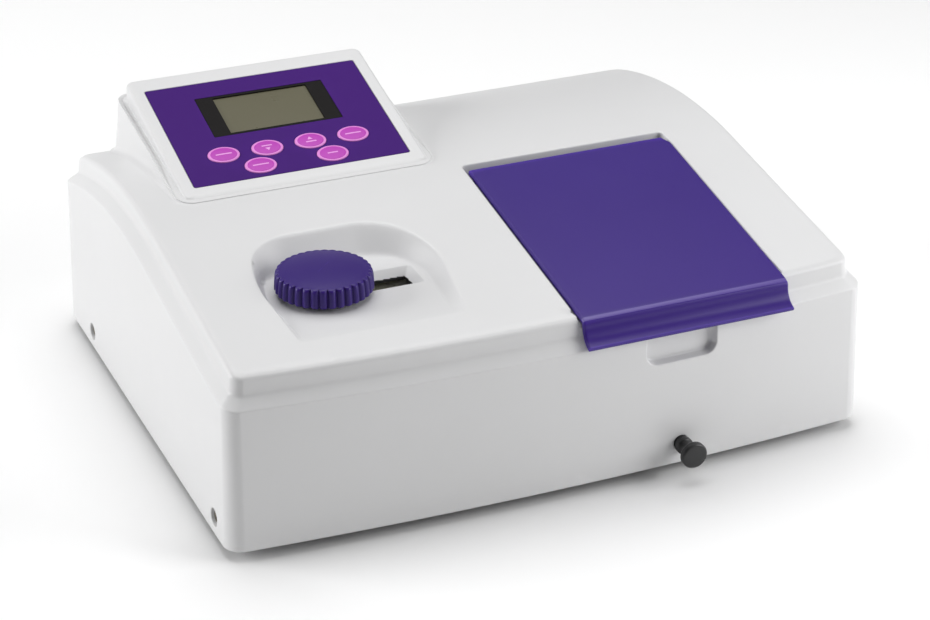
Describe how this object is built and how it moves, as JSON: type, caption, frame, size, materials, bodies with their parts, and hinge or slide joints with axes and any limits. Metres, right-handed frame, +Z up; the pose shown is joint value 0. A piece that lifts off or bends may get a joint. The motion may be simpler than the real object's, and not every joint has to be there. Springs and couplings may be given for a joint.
{
  "type": "spectrophotometer",
  "caption": "Bench spectrophotometer with a moulded case, tilted keypad display, wavelength knob with dial window, hinged sample lid and pull-rod cell changer.",
  "frame": {"origin": "centre of the bounding box's underside, on the surface the feet stand on", "axes": "+X to the user's right along the case's width, +Y from the front to the back, +Z up"},
  "size_m": [0.45, 0.4, 0.1904],
  "materials": {
    "cover": "off-white moulded plastic, satin with a fine texture",
    "steel_plate": "zinc-grey sheet steel",
    "rubber": "matt black",
    "screw_steel": "zinc plated",
    "overlay": "purple printed overlay",
    "window": "clear window",
    "black_plastic": "matt black",
    "lcd": "olive liquid-crystal glass",
    "keys": "magenta with a pale rim",
    "knob": "deep blue-violet, moulded",
    "lid": "deep blue-violet, satin",
    "circuit_board": "green laminate",
    "cable": "grey ribbon",
    "brass": "turned brass",
    "shaft": "ground steel",
    "dial": "cream printed dial",
    "casting": "black anodised casting",
    "plate_alu": "brushed plate",
    "mirror": "silvered",
    "grating": "ruled, iridescent",
    "clear_glass": "clear bulb",
    "ceramic": "white ceramic",
    "laminations": "varnished laminations",
    "winding": "varnished copper wire",
    "can": "dark blue sleeve",
    "rocker": "red"
  },
  "bodies": {
    "case": {"top_cover": "cover", "base_plate": "steel_plate", "rubber_feet": "rubber", "cover_screws": "screw_steel", "display_bezel": "cover", "keypad_overlay": "overlay", "display_window": "window", "lcd_frame": "black_plastic", "lcd_glass": "lcd", "keypad_board": "circuit_board", "key_switches": "black_plastic", "ribbon_cable": "cable", "knob_bushing": "brass", "dial_window": "window", "drive_bridge": "plate_alu", "monochromator_box": "casting", "monochromator_lid": "plate_alu", "concave_mirrors": "mirror", "fold_mirror": "mirror", "slit_plates": "black_plastic", "lamp_house": "plate_alu", "lamp": "clear_glass", "lamp_socket": "ceramic", "compartment_box": "black_plastic", "guide_rails": "shaft", "rod_bush": "black_plastic", "hinge_pins": "shaft", "lid_seal": "rubber", "detector_housing": "casting", "photodiode": "brass", "detector_board": "circuit_board", "transformer_core": "laminations", "transformer_coil": "winding", "power_board": "circuit_board", "capacitors": "can", "main_board": "circuit_board", "board_standoffs": "brass", "rear_panel": "plate_alu", "mains_inlet": "black_plastic", "switch_body": "black_plastic", "fuse_holder": "black_plastic"},
    "lid": {"sample_lid": "lid"},
    "changer": {"cell_carriage": "casting", "pull_rod": "shaft", "rod_knob": "black_plastic"},
    "knob": {"wavelength_knob": "knob", "knob_shaft": "shaft"},
    "dial": {"dial_disc": "dial", "dial_gear": "brass", "dial_arbor": "shaft"},
    "grating_arm": {"grating_sector": "shaft", "grating_holder": "casting", "grating": "grating"},
    "rocker": {"power_rocker": "rocker"},
    "key1": {"key_1": "keys"},
    "key2": {"key_2": "keys"},
    "key3": {"key_3": "keys"},
    "key4": {"key_4": "keys"},
    "key5": {"key_5": "keys"},
    "key6": {"key_6": "keys"}
  },
  "joints": [
    {"name": "lid_hinge", "type": "hinge", "parent": "case", "child": "lid", "pos_m": [0.089, 0.005, 0.144], "axis": [-1, 0, 0], "range_deg": [0, 95]},
    {"name": "changer_slide", "type": "slide", "parent": "case", "child": "changer", "axis": [0, -1, 0], "range_m": [0, 0.06]},
    {"name": "knob_turn", "type": "hinge", "parent": "case", "child": "knob", "pos_m": [-0.125, -0.081, 0.137], "axis": [0, 0, 1], "range_deg": [-450, 450]},
    {"name": "dial_turn", "type": "hinge", "parent": "case", "child": "dial", "pos_m": [-0.073, -0.10179, 0.111], "axis": [0, 0, 1], "range_deg": [-150, 150]},
    {"name": "grating_turn", "type": "hinge", "parent": "case", "child": "grating_arm", "pos_m": [-0.06019, -0.05397, 0.04], "axis": [0, 0, 1], "range_deg": [-15, 15]},
    {"name": "power_switch", "type": "hinge", "parent": "case", "child": "rocker", "pos_m": [0.1027, 0.188, 0.0532], "axis": [-1, 0, 0], "range_deg": [0, 16]},
    {"name": "key_1_press", "type": "slide", "parent": "case", "child": "key1", "axis": [0, 0.2504, -0.9681], "range_m": [0, 0.0005], "stiffness_N_per_m": 400, "springref_m": -0.001},
    {"name": "key_2_press", "type": "slide", "parent": "case", "child": "key2", "axis": [0, 0.2504, -0.9681], "range_m": [0, 0.0005], "stiffness_N_per_m": 400, "springref_m": -0.001},
    {"name": "key_3_press", "type": "slide", "parent": "case", "child": "key3", "axis": [0, 0.2504, -0.9681], "range_m": [0, 0.0005], "stiffness_N_per_m": 400, "springref_m": -0.001},
    {"name": "key_4_press", "type": "slide", "parent": "case", "child": "key4", "axis": [0, 0.2504, -0.9681], "range_m": [0, 0.0005], "stiffness_N_per_m": 400, "springref_m": -0.001},
    {"name": "key_5_press", "type": "slide", "parent": "case", "child": "key5", "axis": [0, 0.2504, -0.9681], "range_m": [0, 0.0005], "stiffness_N_per_m": 400, "springref_m": -0.001},
    {"name": "key_6_press", "type": "slide", "parent": "case", "child": "key6", "axis": [0, 0.2504, -0.9681], "range_m": [0, 0.0005], "stiffness_N_per_m": 400, "springref_m": -0.001}
  ],
  "couplings": [
    {"joint": "dial_turn", "follows": "knob_turn", "ratio": -0.33333},
    {"joint": "grating_turn", "follows": "knob_turn", "ratio": 0.033333}
  ]
}
